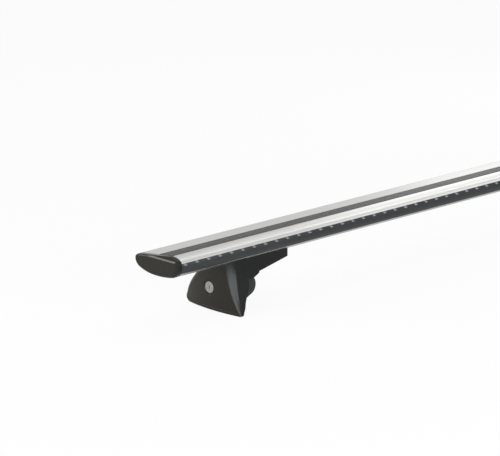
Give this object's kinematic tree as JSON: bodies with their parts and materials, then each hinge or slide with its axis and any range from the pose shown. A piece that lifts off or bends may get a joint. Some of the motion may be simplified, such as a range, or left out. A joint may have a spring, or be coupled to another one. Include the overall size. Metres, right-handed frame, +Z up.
{
  "type": "roof rack crossbar",
  "caption": "Wing-shaped aluminium roof bar with rubber strips and end caps, on lockable clamp feet with flared covers for a roof rail.",
  "frame": {"origin": "on the ground under the middle of the bar", "axes": "+X along the bar, -Y towards the leading edge, +Z up"},
  "size_m": [1.2, 0.1023, 0.0918],
  "materials": {
    "bar_aluminium": "satin anodised",
    "strip_rubber": "ribbed matte",
    "black_plastic": "satin grained",
    "lock_metal": "satin die-cast",
    "coated_steel": "black coating",
    "plated_steel": "zinc plated",
    "pad_rubber": "matte"
  },
  "bodies": {
    "bar": {"bar_extrusion": "bar_aluminium", "top_strip": "strip_rubber", "nose_strip": "strip_rubber", "end_cap_left": "black_plastic", "end_cap_right": "black_plastic"},
    "foot_left": {"foot_saddle_left": "black_plastic", "outer_claw_left": "coated_steel", "claw_screws_left": "plated_steel", "rail_pad_left": "pad_rubber", "clamp_washer_left": "plated_steel", "t_bolts_left": "plated_steel", "t_bolt_washers_left": "plated_steel", "t_bolt_nuts_left": "plated_steel"},
    "cover_left": {"foot_cover_left": "black_plastic"},
    "lock_left": {"lock_barrel_left": "lock_metal", "lock_cam_left": "plated_steel"},
    "screw_left": {"clamp_screw_left": "plated_steel"},
    "jaw_left": {"inner_jaw_left": "black_plastic", "clamp_nut_left": "plated_steel"},
    "foot_right": {"foot_saddle_right": "black_plastic", "outer_claw_right": "coated_steel", "claw_screws_right": "plated_steel", "rail_pad_right": "pad_rubber", "clamp_washer_right": "plated_steel", "t_bolts_right": "plated_steel", "t_bolt_washers_right": "plated_steel", "t_bolt_nuts_right": "plated_steel"},
    "cover_right": {"foot_cover_right": "black_plastic"},
    "lock_right": {"lock_barrel_right": "lock_metal", "lock_cam_right": "plated_steel"},
    "screw_right": {"clamp_screw_right": "plated_steel"},
    "jaw_right": {"inner_jaw_right": "black_plastic", "clamp_nut_right": "plated_steel"}
  },
  "joints": [
    {"name": "foot_left_slide", "type": "slide", "parent": "bar", "child": "foot_left", "axis": [1, 0, 0], "range_m": [-0.05, 0.15]},
    {"name": "cover_left_pull", "type": "slide", "parent": "foot_left", "child": "cover_left", "axis": [-1, 0, 0], "range_m": [0, 0.06]},
    {"name": "lock_left_turn", "type": "hinge", "parent": "cover_left", "child": "lock_left", "pos_m": [-0.5091, 0, 0.0306], "axis": [1, 0, 0], "range_deg": [0, 90]},
    {"name": "clamp_left_turn", "type": "hinge", "parent": "foot_left", "child": "screw_left", "pos_m": [-0.494, 0, 0.0306], "axis": [1, 0, 0], "range_deg": [-1450, 1450]},
    {"name": "jaw_left_slide", "type": "slide", "parent": "foot_left", "child": "jaw_left", "axis": [-1, 0, 0], "range_m": [-0.004, 0.004]},
    {"name": "foot_right_slide", "type": "slide", "parent": "bar", "child": "foot_right", "axis": [-1, 0, 0], "range_m": [-0.05, 0.15]},
    {"name": "cover_right_pull", "type": "slide", "parent": "foot_right", "child": "cover_right", "axis": [1, 0, 0], "range_m": [0, 0.06]},
    {"name": "lock_right_turn", "type": "hinge", "parent": "cover_right", "child": "lock_right", "pos_m": [0.5091, 0, 0.0306], "axis": [-1, 0, 0], "range_deg": [0, 90]},
    {"name": "clamp_right_turn", "type": "hinge", "parent": "foot_right", "child": "screw_right", "pos_m": [0.494, 0, 0.0306], "axis": [-1, 0, 0], "range_deg": [-1450, 1450]},
    {"name": "jaw_right_slide", "type": "slide", "parent": "foot_right", "child": "jaw_right", "axis": [1, 0, 0], "range_m": [-0.004, 0.004]}
  ],
  "couplings": [
    {"joint": "clamp_left_turn", "follows": "jaw_left_slide", "rad_per_m": 6283.2},
    {"joint": "clamp_right_turn", "follows": "jaw_right_slide", "rad_per_m": 6283.2}
  ]
}
